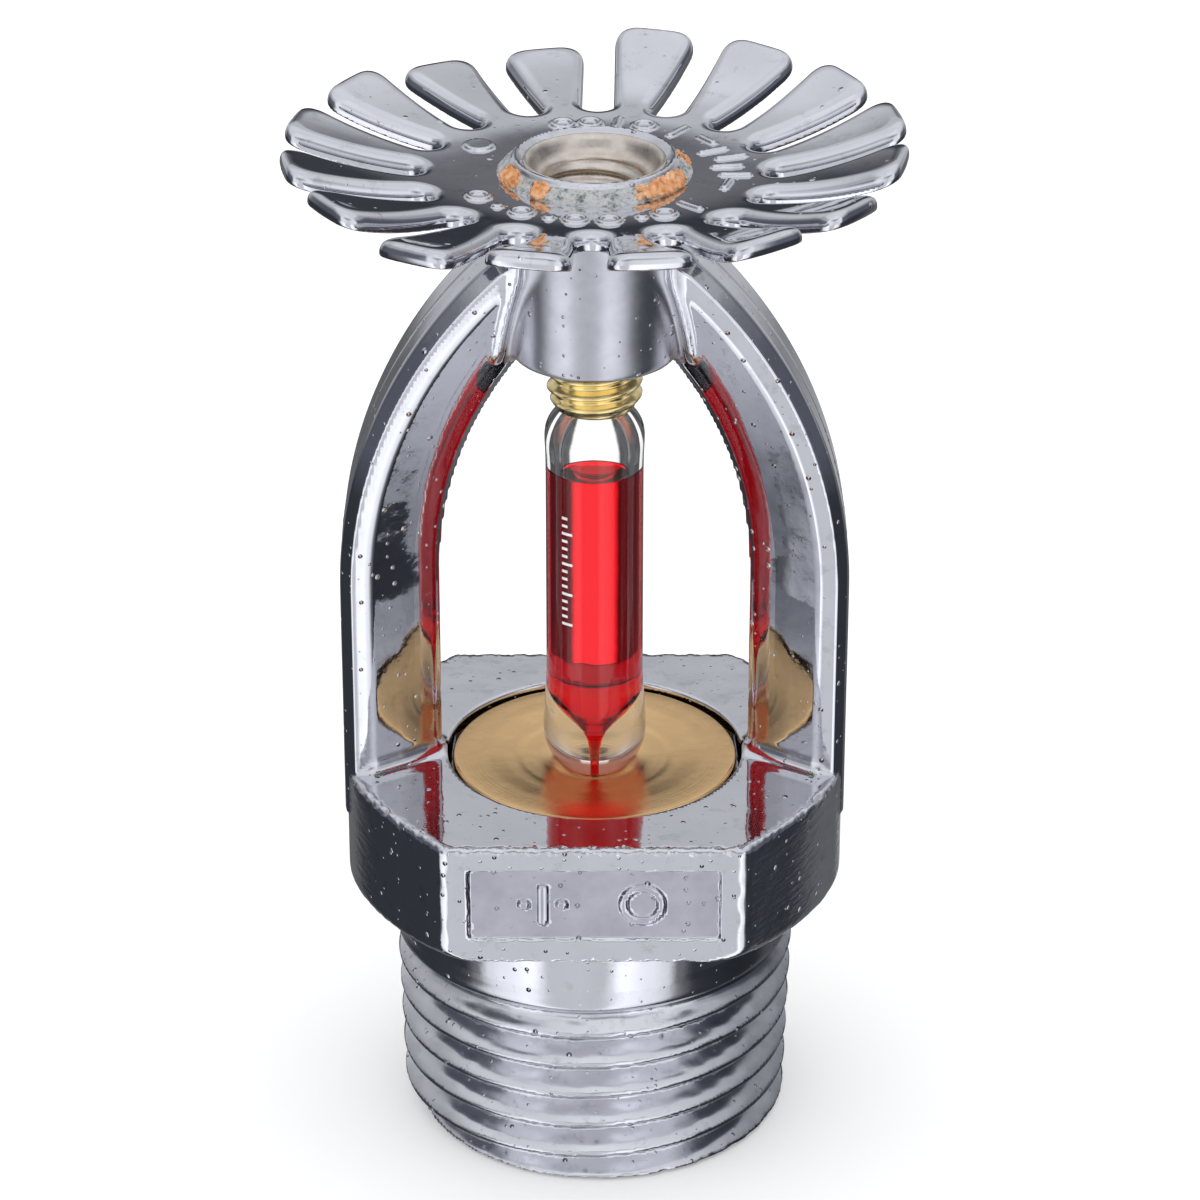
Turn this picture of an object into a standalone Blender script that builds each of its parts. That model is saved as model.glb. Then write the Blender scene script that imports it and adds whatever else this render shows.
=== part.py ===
"""Pendent fire sprinkler head, R1/2, glass bulb, standing on its thread with the deflector up.

Metres, +Z up, the water axis on Z, z = 0 on the inlet end face, the flats facing -Y and +Y.
"""

import math

import bmesh
import bpy
from mathutils import Matrix, Vector

MM = 0.001

# ---- driving dimensions, millimetres ------------------------------------------------
# inlet thread, R1/2 (BSPT): 14 per inch, taper 1 in 16 on diameter
THREAD_PITCH = 1.814
THREAD_DEPTH = 1.05
THREAD_CREST_R0 = 10.06  # crest radius at z = 0
THREAD_TAPER = 1 / 32
THREAD_TOP = 10.9
THREAD_PHASE = 1.74  # height of the first crest on the -Y side
NECK_R = 10.2
INLET_RIM_R, INLET_CHAMFER = 9.85, 0.95
# wrench boss
BOSS_BOTTOM, BOSS_TOP = 13.55, 20.13
FLAT_Y = 10.86
FLAT_HALF = 7.6
BOSS_HALF_X = 12.9
PANEL_HALF, PANEL_LOW, PANEL_HIGH, PANEL_DEPTH = 6.3, 14.95, 18.85, 0.22
# waterway and valve seat
WATERWAY_R = 5.8
SEAT_IN_R, SEAT_OUT_R, SEAT_Z = 6.1, 6.7, 17.7
POCKET_R, POCKET_FLOOR = 7.6, 17.3
# yoke arms: straight to ARCH_Z, then an arc about (ARCH_X, ARCH_Z)
ARM_OUT_R, ARM_DEEP = 24.15, 5.1
ARCH_X, ARCH_Z = -11.3, 30.3
ARM_END_DEG = 55.0
# hub, with its spigot swaged over the deflector
HUB_R, HUB_BOTTOM, HUB_TOP = 4.2, 42.43, 50.97
SPIGOT_R = 3.8
LIP_R, LIP_TOP, LIP_MOUTH_R = 4.09, 52.9, 3.36
COLLAR_R, COLLAR_Z = 4.9, 52.03
# load screw and its bore, M5 x 0.8
SCREW_PITCH = 0.8
SCREW_CREST_R, SCREW_ROOT_R = 2.40, 1.98
THREAD_PLAY = 0.14
SCREW_LOW, SCREW_HIGH = 39.5, 46.6
BORE_TOP = 51.7
# deflector
TINES = 16
PLATE_HOLE_R, PLATE_R = 3.87, 15.35
PLATE_Z, PLATE_THICK = 51.0, 1.0
SLOT_HALF, SLOT_END_R = 0.8, 8.5
DISH_START_R, DISH_RISE, DISH_POWER = 5.6, 1.9, 2.1
TIP_CORNER = 0.8
DEFLECTOR_TURN = -1.0  # degrees, about its own axis
# tines counted from +X anticlockwise; their tips stand above or below the even dish
RAISED_TINES, TIP_RAISE = (15, 0, 1, 2, 3), 0.45
LOWERED_TINES, TIP_LOWER = (4, 5, 10), 0.7
# bulb
BULB_R, BULB_BASE, BULB_TIP = 2.5, 18.9, 39.82
CAVITY_R, CAVITY_TOP = 1.75, 38.9
CONE_TOP, CONE_LOW, CAPILLARY_R = 24.2, 21.4, 0.27
LIQUID_TOP, LIQUID_GAP = 35.9, 0.05
# valve
CAP_R, CAP_TOP, CAP_LOW, STEM_R, STEM_LOW = 7.35, 19.9, 18.95, 3.4, 16.8
DISC_OUT_R, DISC_IN_R, DISC_SLOPE = 7.2, 3.6, 0.12
FILM_THICK, DISC_THICK, LAYER_GAP = 0.12, 0.5, 0.03

TURN_STEPS = 48


# ---- scene and helpers --------------------------------------------------------------
for obj in list(bpy.data.objects):
    bpy.data.objects.remove(obj, do_unlink=True)
for old in list(bpy.data.collections):
    bpy.data.collections.remove(old)

PARTS = bpy.data.collections.new("fire_sprinkler_head")
CUTTERS = bpy.data.collections.new("cutters")
bpy.context.scene.collection.children.link(PARTS)
bpy.context.scene.collection.children.link(CUTTERS)


def material(name, colour, roughness, metallic, transmission=0.0):
    mat = bpy.data.materials.new(name)
    mat.use_nodes = True
    shader = mat.node_tree.nodes["Principled BSDF"]
    shader.inputs["Base Color"].default_value = (*colour, 1.0)
    shader.inputs["Roughness"].default_value = roughness
    shader.inputs["Metallic"].default_value = metallic
    shader.inputs["Transmission Weight"].default_value = transmission
    mat.diffuse_color = (*colour, 1.0)
    mat.roughness = roughness
    mat.metallic = metallic
    return mat


CHROME = material("chrome_plated_brass", (0.55, 0.55, 0.58), 0.12, 1.0)
PLATE = material("chrome_plated_deflector", (0.60, 0.60, 0.63), 0.15, 1.0)
BRASS = material("turned_brass", (0.66, 0.46, 0.17), 0.25, 1.0)
SCREW_BRASS = material("screw_brass", (0.72, 0.55, 0.22), 0.25, 1.0)
GLASS = material("bulb_glass", (0.92, 0.94, 0.94), 0.02, 0.0, 0.9)
LIQUID = material("red_liquid", (0.62, 0.01, 0.02), 0.05, 0.0, 0.3)
SPRING = material("spring_steel", (0.45, 0.45, 0.47), 0.3, 1.0)
PTFE_U = material("ptfe_film_upper", (0.85, 0.84, 0.78), 0.5, 0.0)
PTFE_L = material("ptfe_film_lower", (0.85, 0.84, 0.78), 0.5, 0.0)


def place(name, mesh, mat=None):
    """The mesh as an object: a part when it has a material, a cutter when it has none."""
    obj = bpy.data.objects.new(name, mesh)
    if mat:
        mesh.materials.append(mat)
        PARTS.objects.link(obj)
    else:
        CUTTERS.objects.link(obj)
        obj.hide_render = True
        obj.display_type = "WIRE"
    return obj


def finish(bm, name, mat=None, smooth=False):
    bmesh.ops.remove_doubles(bm, verts=bm.verts, dist=2e-7)
    bmesh.ops.dissolve_degenerate(bm, edges=bm.edges, dist=1e-7)
    bmesh.ops.recalc_face_normals(bm, faces=bm.faces)
    mesh = bpy.data.meshes.new(name)
    bm.to_mesh(mesh)
    bm.free()
    for face in mesh.polygons:
        face.use_smooth = smooth
    return place(name, mesh, mat)


def turned(name, profile, mat=None, steps=TURN_STEPS):
    """A Screw-modifier solid. The profile (radius, height) runs down the outer side, top to bottom."""
    mesh = bpy.data.meshes.new(name)
    mesh.from_pydata(
        [(r * MM, 0, z * MM) for r, z in profile],
        [(i, i + 1) for i in range(len(profile) - 1)],
        [],
    )
    obj = place(name, mesh, mat)
    screw = obj.modifiers.new("turn", "SCREW")
    screw.axis = "Z"
    screw.angle = 2 * math.pi
    screw.steps = screw.render_steps = steps
    screw.use_merge_vertices = True
    screw.merge_threshold = 1e-6
    screw.use_smooth_shade = True
    return obj


def ring(name, profile, mat=None, steps=TURN_STEPS):
    """As turned, for a closed profile that keeps off the axis."""
    return turned(name, profile + profile[:1], mat, steps)


def prism(name, outlines, low, high, mat=None, frame=Matrix()):
    """Flat outlines (x, y), each pushed from low to high along the frame's Z."""
    bm = bmesh.new()
    for outline in outlines:
        floor = bm.faces.new(
            [bm.verts.new(frame @ Vector((x * MM, y * MM, low * MM))) for x, y in outline]
        )
        top = bmesh.ops.extrude_face_region(bm, geom=[floor])["geom"]
        move = frame.to_3x3() @ Vector((0, 0, (high - low) * MM))
        bmesh.ops.translate(
            bm, verts=[v for v in top if isinstance(v, bmesh.types.BMVert)], vec=move
        )
    return finish(bm, name, mat)


def threaded(name, low, high, pitch, crest_at, columns, form, radius, mat=None):
    """A bar with a right-hand thread. form holds (share of a pitch from the crest, depth share)."""
    bm = bmesh.new()
    first = math.floor((low - crest_at) / pitch) - 2
    last = math.ceil((high - crest_at) / pitch) + 2

    def depth_at(share):
        share %= 1.0
        points = [*form, (form[0][0] + 1.0, form[0][1])]
        if share < points[0][0]:
            share += 1.0
        for (a, da), (b, db) in zip(points, points[1:]):
            if a <= share <= b:
                return da + (db - da) * (share - a) / (b - a)
        return points[0][1]

    rows = []
    for i in range(columns + 1):
        turn = i / columns
        angle = 2 * math.pi * turn - math.pi / 2
        column = []
        for n in range(first, last):
            for share, depth in form:
                z = crest_at + pitch * (n + share + turn)
                if not low < z < high:
                    z = min(max(z, low), high)
                    depth = depth_at((z - crest_at) / pitch - turn)
                r = radius(z, depth)
                column.append(
                    bm.verts.new(
                        (r * math.cos(angle) * MM, r * math.sin(angle) * MM, z * MM)
                    )
                )
        rows.append(column)
    for a, b in zip(rows, rows[1:]):
        for j in range(len(a) - 1):
            quad = [a[j], b[j], b[j + 1], a[j + 1]]
            spots = {tuple(round(c * 1e8) for c in v.co) for v in quad}
            if len(spots) > 2:
                bm.faces.new([quad[0], quad[1], quad[2]])
                bm.faces.new([quad[0], quad[2], quad[3]])
    for end, z in ((0, low), (-1, high)):
        centre = bm.verts.new((0, 0, z * MM))
        for a, b in zip(rows, rows[1:]):
            bm.faces.new([a[end], b[end], centre])
    return finish(bm, name, mat)


def boolean(obj, operation, other):
    cut = obj.modifiers.new(f"{operation.lower()}_{other.name}", "BOOLEAN")
    cut.operation = operation
    cut.solver = "EXACT"
    cut.object = other


def bevel(obj, width, segments=1):
    edge = obj.modifiers.new("edge", "BEVEL")
    edge.width = width * MM
    edge.segments = segments
    edge.limit_method = "ANGLE"
    edge.angle_limit = math.radians(30)


def box(name, x0, x1, y0, y1, z0, z1, mat=None):
    return prism(name, [[(x0, y0), (x1, y0), (x1, y1), (x0, y1)]], z0, z1, mat)


def arc(cx, cy, r, a0, a1, count):
    return [
        (
            cx + r * math.cos(math.radians(a0 + (a1 - a0) * i / count)),
            cy + r * math.sin(math.radians(a0 + (a1 - a0) * i / count)),
        )
        for i in range(count + 1)
    ]


# ---- frame: one casting, inlet thread to swaged spigot -------------------------------
def inlet_radius(z, depth):
    fade = min(1.0, max(0.0, (THREAD_TOP - z) / 1.6))
    return THREAD_CREST_R0 + THREAD_TAPER * z - THREAD_DEPTH * depth * fade


frame = threaded(
    "frame", 0.0, THREAD_TOP, THREAD_PITCH, THREAD_PHASE, 48,
    [(-0.09, 0.0), (0.09, 0.0), (0.5, 1.0)], inlet_radius, CHROME,
)
boolean(frame, "INTERSECT", turned("inlet_blank", [
    (0, 11.4), (10.8, 11.4), (10.8, INLET_CHAMFER), (INLET_RIM_R, -0.05), (0, -0.05),
]))
boolean(frame, "UNION", turned("neck", [
    (0, 14.6), (NECK_R, 14.6), (NECK_R, 10.7), (NECK_R - 0.35, 10.35), (0, 10.35),
]))

# wrench boss: two flats, joined round the sides by slightly convex faces
side = [(7.6, 10.86), (9.45, 8.7), (11.05, 6.5), (12.15, 4.35), (12.75, 2.2)]
quarter = [(FLAT_HALF, FLAT_Y), *side[1:], (BOSS_HALF_X, 0.9)]
outline = (
    [(x, -y) for x, y in quarter]
    + [(x, y) for x, y in reversed(quarter)]
    + [(-x, y) for x, y in quarter]
    + [(-x, -y) for x, y in reversed(quarter)]
)
boss = prism("boss", [outline], BOSS_BOTTOM, BOSS_TOP)
bevel(boss, 0.3)
boolean(boss, "INTERSECT", turned("boss_blank", [
    (0, BOSS_TOP + 1), (13.6, BOSS_TOP + 1), (13.6, BOSS_BOTTOM + 1.15),
    (12.3, BOSS_BOTTOM - 0.1), (0, BOSS_BOTTOM - 0.1),
]))
boolean(frame, "UNION", boss)

# one yoke arm, lofted along its arch, and its mirror image
half = [(0.0, 1.7), (0.42, 2.95), (0.72, 3.12), (1.1, 3.0), (3.35, 1.45), (4.6, 0.5), (5.0, 0.22)]
section = [(u, -v) for u, v in half] + [(u, v) for u, v in reversed(half)]
stations = [(17.2, 0.0), (24.0, 0.0)] + [
    (None, ARM_END_DEG * i / 11) for i in range(12)
]
for sign, name in ((1, "arm_right"), (-1, "arm_left")):
    bm = bmesh.new()
    loops = []
    for height, degrees in stations:
        swing = math.radians(degrees)
        loop = []
        for u, v in section:
            r = ARM_OUT_R - u * (ARM_DEEP / 5.0)
            x = ARCH_X + r * math.cos(swing)
            z = height if height is not None else ARCH_Z + r * math.sin(swing)
            loop.append(bm.verts.new((sign * x * MM, v * MM, z * MM)))
        loops.append(loop)
    for a, b in zip(loops, loops[1:]):
        for j in range(len(section)):
            k = (j + 1) % len(section)
            bm.faces.new([a[j], a[k], b[k], b[j]])
    bm.faces.new(loops[0])
    bm.faces.new(loops[-1])
    boolean(frame, "UNION", finish(bm, name))

boolean(frame, "UNION", turned("hub", [
    (0, LIP_TOP), (LIP_R - 0.12, LIP_TOP), (LIP_R, LIP_TOP - 0.15),
    (LIP_R + 0.08, LIP_TOP - 0.4), (COLLAR_R - 0.3, COLLAR_Z + 0.2), (COLLAR_R, COLLAR_Z),
    (SPIGOT_R, COLLAR_Z), (SPIGOT_R, HUB_TOP), (HUB_R, HUB_TOP),
    (HUB_R, HUB_BOTTOM + 0.3), (HUB_R - 0.3, HUB_BOTTOM), (0, HUB_BOTTOM),
], steps=36))

# waterway, seat and the pocket that the cap sits in
boolean(frame, "DIFFERENCE", turned("waterway", [
    (0, BOSS_TOP + 0.5), (POCKET_R, BOSS_TOP + 0.5), (POCKET_R, POCKET_FLOOR),
    (SEAT_OUT_R + 0.15, POCKET_FLOOR), (SEAT_OUT_R, SEAT_Z), (SEAT_IN_R, SEAT_Z),
    (WATERWAY_R, SEAT_Z - 0.4), (WATERWAY_R, 0.8), (WATERWAY_R + 0.9, -0.1), (0, -0.1),
]))

bore = threaded(
    "screw_bore", HUB_BOTTOM - 0.4, BORE_TOP, SCREW_PITCH, 0.0, 24,
    [(0.0, 0.0), (0.5, 1.0)],
    lambda z, depth: SCREW_CREST_R + THREAD_PLAY - (SCREW_CREST_R - SCREW_ROOT_R) * depth,
)
boolean(frame, "DIFFERENCE", bore)
boolean(frame, "DIFFERENCE", turned("lip_mouth", [
    (0, LIP_TOP + 0.4), (LIP_MOUTH_R, LIP_TOP + 0.4), (LIP_MOUTH_R, LIP_TOP - 0.1),
    (2.62, BORE_TOP - 0.05), (2.2, BORE_TOP - 0.25), (0, BORE_TOP - 0.25),
], steps=36))

# sunk panel on the front flat with two plain raised marks, a bar and a ring
boolean(frame, "DIFFERENCE", box(
    "panel", -PANEL_HALF, PANEL_HALF, -FLAT_Y - 0.6, -FLAT_Y + PANEL_DEPTH, PANEL_LOW, PANEL_HIGH
))
lay = Matrix.Translation((0, -FLAT_Y * MM, 0)) @ Matrix.Rotation(math.radians(90), 4, "X")
middle = (PANEL_LOW + PANEL_HIGH) / 2
boolean(frame, "UNION", prism(
    "mark_bar", [[(-2.75, middle - 1.1), (-2.25, middle - 1.1), (-2.25, middle + 1.1), (-2.75, middle + 1.1)]],
    -PANEL_DEPTH - 0.3, -0.04, frame=lay,
))
mark = ring("mark_ring", [
    (1.15, -0.04), (1.15, -PANEL_DEPTH - 0.3), (0.75, -PANEL_DEPTH - 0.3), (0.75, -0.04),
], steps=20)
mark.matrix_world = Matrix.Translation((2.5 * MM, 0, middle * MM)) @ lay
boolean(frame, "UNION", mark)


# ---- deflector ----------------------------------------------------------------------
def dish(r):
    return DISH_RISE * max(0.0, (r - DISH_START_R) / (PLATE_R - DISH_START_R)) ** DISH_POWER


radii = [PLATE_HOLE_R, DISH_START_R, 7.1, SLOT_END_R - 0.3, 9.9, 11.4, 12.8, 14.0, PLATE_R - 0.25]
profile = [(r, PLATE_Z + PLATE_THICK + dish(r)) for r in radii]
profile.append((PLATE_R, PLATE_Z + PLATE_THICK + dish(PLATE_R) - 0.3))
profile.append((PLATE_R - 0.05, PLATE_Z + dish(PLATE_R) + 0.05))
profile += [(r, PLATE_Z + dish(r)) for r in reversed(radii[:-1])]
deflector = ring("deflector", profile, PLATE, steps=TURN_STEPS)

slots = []
for k in range(TINES):
    turn = math.radians(-90 + k * 360 / TINES + DEFLECTOR_TURN)
    edge = [(SLOT_END_R + SLOT_HALF + x, y) for x, y in arc(0, 0, SLOT_HALF, 90, 270, 6)]
    tip = PLATE_R * math.cos(math.asin((SLOT_HALF + TIP_CORNER) / PLATE_R))
    # the corner rounding runs from the slot's side to the rim
    round_low = [
        (tip - TIP_CORNER + a * TIP_CORNER, -(SLOT_HALF + b * TIP_CORNER))
        for a, b in ((0, 0), (0.5, 0.13), (0.87, 0.5), (1.0, 1.0))
    ]
    out = PLATE_R + 1.0
    shape = edge + round_low + [(out, -(SLOT_HALF + TIP_CORNER)), (out, SLOT_HALF + TIP_CORNER)]
    shape += [(x, -y) for x, y in reversed(round_low)]
    slots.append([
        (x * math.cos(turn) - y * math.sin(turn), x * math.sin(turn) + y * math.cos(turn))
        for x, y in shape
    ])
boolean(deflector, "DIFFERENCE", prism("slots", slots, PLATE_Z - 1, PLATE_Z + 5))

# the tines are not quite level with each other: the plate is made solid, then each tine is bent
bpy.context.view_layer.update()
evaluated = deflector.evaluated_get(bpy.context.evaluated_depsgraph_get())
bent = bpy.data.meshes.new_from_object(evaluated)
for vertex in bent.vertices:
    r = math.hypot(vertex.co.x, vertex.co.y) / MM
    angle = math.degrees(math.atan2(vertex.co.y, vertex.co.x)) - DEFLECTOR_TURN
    tine = math.floor(angle * TINES / 360) % TINES
    if r > SLOT_END_R:
        bend = TIP_RAISE if tine in RAISED_TINES else -TIP_LOWER if tine in LOWERED_TINES else 0.0
        vertex.co.z += bend * MM * ((r - SLOT_END_R) / (PLATE_R - SLOT_END_R)) ** 1.5
deflector.modifiers.clear()
deflector.data = bent

# ---- load screw: its axis is the joint's axis ----------------------------------------
screw = threaded(
    "load_screw", SCREW_LOW, SCREW_HIGH, SCREW_PITCH, 0.0, 24,
    [(0.0, 0.0), (0.5, 1.0)],
    lambda z, depth: SCREW_CREST_R - (SCREW_CREST_R - SCREW_ROOT_R) * depth,
    SCREW_BRASS,
)
boolean(screw, "INTERSECT", turned("screw_blank", [
    (0, SCREW_HIGH + 0.1), (2.0, SCREW_HIGH + 0.1), (2.6, SCREW_HIGH - 0.5),
    (2.6, SCREW_LOW + 1.2), (1.92, SCREW_LOW - 0.1), (0, SCREW_LOW - 0.1),
], steps=32))
boolean(screw, "DIFFERENCE", turned("screw_cup", [
    (0, SCREW_LOW + 0.46), (0.8, SCREW_LOW + 0.42), (1.5, SCREW_LOW + 0.25),
    (1.88, SCREW_LOW - 0.02), (1.88, SCREW_LOW - 0.4), (0, SCREW_LOW - 0.4),
], steps=32))
boolean(screw, "DIFFERENCE", box(
    "driver_slot", -3, 3, -0.4, 0.4, SCREW_HIGH - 1.0, SCREW_HIGH + 0.5
))

# ---- bulb ---------------------------------------------------------------------------
glass_profile = [
    (0, BULB_TIP), (0.8, 39.77), (1.5, 39.56), (2.05, 39.2), (2.4, 38.7), (2.52, 38.1),
    (BULB_R, 37.2), (BULB_R, 24.5), (2.62, 22.6), (2.66, 21.6), (2.52, 20.6), (2.1, 19.8),
    (1.45, 19.25), (0.8, 18.98), (CAPILLARY_R, BULB_BASE),
    (CAPILLARY_R, CONE_LOW), (0.9, 22.6), (1.5, 23.6), (CAVITY_R, CONE_TOP), (CAVITY_R, 37.6),
    (1.5, 38.35), (0.85, 38.75), (0, CAVITY_TOP),
]
turned("bulb_glass", glass_profile, GLASS, steps=32)
gap = LIQUID_GAP
turned("bulb_liquid", [
    (0, LIQUID_TOP - 0.15), (1.1, LIQUID_TOP - 0.1), (CAVITY_R - gap, LIQUID_TOP + 0.1),
    (CAVITY_R - gap, CONE_TOP), (1.5 - gap, 23.65), (0.9 - gap, 22.7),
    (CAPILLARY_R - gap, CONE_LOW + 0.1), (CAPILLARY_R - gap, 19.7), (0, 19.7),
], LIQUID, steps=24)

# ---- valve: cap, disc spring and its two films ----------------------------------------
cap = [
    (1.6, 19.02), (2.2, 19.42), (2.75, 19.62), (3.7, 19.66), (3.8, 19.76),
    (5.0, 19.78), (5.1, CAP_TOP), (CAP_R - 0.15, CAP_TOP), (CAP_R, CAP_TOP - 0.15),
    (CAP_R, CAP_LOW + 0.2), (CAP_R - 0.2, CAP_LOW), (STEM_R, CAP_LOW),
    (STEM_R, STEM_LOW + 0.3), (STEM_R - 0.3, STEM_LOW), (0, STEM_LOW),
]
turned("button", [(0, 18.76), (0.9, 18.82), *cap], BRASS)


def layer(name, lift, thick, mat):
    """A coned ring of the spring pack, its outer lower edge `lift` over the seat."""
    rise = DISC_SLOPE * (DISC_OUT_R - DISC_IN_R)
    low = SEAT_Z - 0.02 + lift
    ring(name, [
        (DISC_IN_R, low + rise + thick), (DISC_OUT_R, low + thick),
        (DISC_OUT_R, low), (DISC_IN_R, low + rise),
    ], mat)


layer("seal_film_lower", 0.0, FILM_THICK, PTFE_L)
layer("belleville_spring", FILM_THICK + LAYER_GAP, DISC_THICK, SPRING)
layer("seal_film_upper", FILM_THICK + DISC_THICK + 2 * LAYER_GAP, FILM_THICK, PTFE_U)
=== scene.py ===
"""Looks for the fire sprinkler head: cast and plated frame, dished deflector, glass bulb, brass."""

import math
import random

import bmesh
import bpy
import numpy as np
import openvdb
from mathutils import Matrix, Vector


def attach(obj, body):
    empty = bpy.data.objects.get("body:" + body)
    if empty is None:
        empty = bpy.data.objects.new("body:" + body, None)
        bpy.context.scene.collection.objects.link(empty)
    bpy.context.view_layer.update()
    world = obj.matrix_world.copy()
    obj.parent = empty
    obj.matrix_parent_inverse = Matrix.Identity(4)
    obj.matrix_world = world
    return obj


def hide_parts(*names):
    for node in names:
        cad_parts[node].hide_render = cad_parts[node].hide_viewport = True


MM = 0.001
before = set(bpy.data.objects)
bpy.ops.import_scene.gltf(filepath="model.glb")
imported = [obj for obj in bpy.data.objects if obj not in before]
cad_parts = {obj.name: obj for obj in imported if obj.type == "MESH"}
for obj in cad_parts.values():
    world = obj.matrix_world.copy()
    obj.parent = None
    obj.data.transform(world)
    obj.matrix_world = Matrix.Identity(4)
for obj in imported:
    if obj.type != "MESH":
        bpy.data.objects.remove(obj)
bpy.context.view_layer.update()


# ---------------------------------------------------------------- distance-field meshing
def smin(a, b, k):
    h = np.maximum(k - np.abs(a - b), 0.0) / k
    return np.minimum(a, b) - h * h * k * 0.25


def smax(a, b, k):
    return -smin(-a, -b, k)


def step(a, b, x):
    t = np.clip((x - a) / (b - a), 0.0, 1.0)
    return t * t * (3 - 2 * t)


def wave(x, y, z, seed, size):
    """Smooth, seeded noise in -1..1 from a few crossed sines."""
    rnd = random.Random(seed)
    total = 0.0
    for _ in range(5):
        a, b, c = (rnd.uniform(-1, 1) for _ in range(3))
        n = math.sqrt(a * a + b * b + c * c) or 1.0
        f = 2 * math.pi / size * rnd.uniform(0.6, 1.6) / n
        total = total + np.sin(a * f * x + b * f * y + c * f * z + rnd.uniform(0, 6.28))
    return total / 5


def side_of(u, v, p, q):
    """Distance outside the line p to q, for a convex outline walked anticlockwise in (u, v)."""
    dx, dy = q[0] - p[0], q[1] - p[1]
    n = math.hypot(dx, dy)
    return ((u - p[0]) * dy - (v - p[1]) * dx) / n


def surface(name, field, low, high, voxel, normals=True):
    """A mesh of the zero level of field(x, y, z), in millimetres, with its true normals."""
    low = np.array(low, np.float32)
    counts = np.ceil((np.array(high) - low) / voxel).astype(int) + 1
    xs, ys, zs = (low[i] + voxel * np.arange(counts[i], dtype=np.float32) for i in range(3))
    values = np.empty(tuple(counts), np.float32)
    slab = max(1, int(1.2e6 / (counts[0] * counts[1])))
    for k in range(0, counts[2], slab):
        x, y, z = np.meshgrid(xs, ys, zs[k : k + slab], indexing="ij", copy=True)
        values[:, :, k : k + slab] = field(x, y, z)
    band = 3 * voxel
    np.clip(values, -band, band, out=values)
    grid = openvdb.FloatGrid(band)
    grid.copyFromArray(values)
    points, quads = grid.convertToQuads(0.0)[:2]
    p = points.astype(np.float64) * voxel + low
    h = 0.03

    def gradient(p):
        out = np.empty_like(p)
        for i in range(3):
            d = np.zeros(3)
            d[i] = h
            a, b = p + d, p - d
            out[:, i] = (field(a[:, 0], a[:, 1], a[:, 2]) - field(b[:, 0], b[:, 1], b[:, 2])) / (2 * h)
        return out

    for _ in range(2):
        g = gradient(p)
        f = field(p[:, 0], p[:, 1], p[:, 2])
        move = -(f / np.maximum((g * g).sum(1), 0.05))[:, None] * g
        length = np.linalg.norm(move, axis=1, keepdims=True)
        p += move * np.minimum(1.0, 0.4 * voxel / np.maximum(length, 1e-9))
    mesh = bpy.data.meshes.new(name)
    mesh.vertices.add(len(p))
    mesh.vertices.foreach_set("co", (p * MM).astype(np.float32).ravel())
    mesh.loops.add(len(quads) * 4)
    mesh.loops.foreach_set("vertex_index", quads.astype(np.int32).ravel())
    mesh.polygons.add(len(quads))
    mesh.polygons.foreach_set("loop_start", np.arange(0, len(quads) * 4, 4, dtype=np.int32))
    mesh.polygons.foreach_set("use_smooth", np.ones(len(quads), bool))
    mesh.update(calc_edges=True)
    # openvdb winds its faces inwards or outwards by version: turn them to the field's outward side
    g = gradient(p)
    first = mesh.polygons[0]
    corner = p[first.vertices[0]]
    facing = sum(
        float(np.dot(np.array(mesh.polygons[i].normal), g[mesh.polygons[i].vertices[0]]))
        for i in range(0, len(mesh.polygons), max(1, len(mesh.polygons) // 200))
    )
    if facing < 0:
        mesh.flip_normals()
    if normals:
        g /= np.maximum(np.linalg.norm(g, axis=1, keepdims=True), 1e-9)
        mesh.normals_split_custom_set_from_vertices(g.tolist())
    obj = bpy.data.objects.new(name, mesh)
    bpy.context.scene.collection.objects.link(obj)
    print("surface", name, len(p), "points", len(quads), "quads")
    return obj


def link(name, bm, smooth=True):
    mesh = bpy.data.meshes.new(name)
    bm.to_mesh(mesh)
    bm.free()
    for f in mesh.polygons:
        f.use_smooth = smooth
    obj = bpy.data.objects.new(name, mesh)
    bpy.context.scene.collection.objects.link(obj)
    return obj


def lathe(name, profile, steps=160, warp=None):
    """A turned solid from (radius, height) points in millimetres, down the outer side from top to bottom."""
    bm = bmesh.new()
    rings = []
    for r, z in profile:
        if r < 1e-6:
            rings.append([bm.verts.new((0, 0, z * MM))] * steps)
            continue
        ring = []
        for i in range(steps):
            a = 2 * math.pi * i / steps
            rr, zz = (r, z) if warp is None else warp(r, z, a)
            ring.append(bm.verts.new((rr * math.cos(a) * MM, rr * math.sin(a) * MM, zz * MM)))
        rings.append(ring)
    for a, b in zip(rings, rings[1:]):
        for i in range(steps):
            j = (i + 1) % steps
            corners = []
            for v in (a[i], b[i], b[j], a[j]):
                if v not in corners:
                    corners.append(v)
            if len(corners) > 2:
                bm.faces.new(corners)
    bmesh.ops.recalc_face_normals(bm, faces=bm.faces)
    return link(name, bm)


def smooth_profile(points, radius=0.12, count=4):
    """The same outline with each inner corner rounded to about that radius."""
    out = [points[0]]
    for p, q, r in zip(points, points[1:], points[2:]):
        a = Vector(p) - Vector(q)
        b = Vector(r) - Vector(q)
        cut = min(radius, a.length * 0.45, b.length * 0.45)
        s, e = Vector(q) + a.normalized() * cut, Vector(q) + b.normalized() * cut
        for i in range(count + 1):
            t = i / count
            out.append(tuple((1 - t) ** 2 * s + 2 * t * (1 - t) * Vector(q) + t * t * e))
    out.append(points[-1])
    return out


# ---------------------------------------------------------------- materials
def new_material(name):
    mat = bpy.data.materials.new(name)
    mat.use_nodes = True
    nodes, links = mat.node_tree.nodes, mat.node_tree.links
    return mat, nodes, links, nodes["Principled BSDF"]


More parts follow.
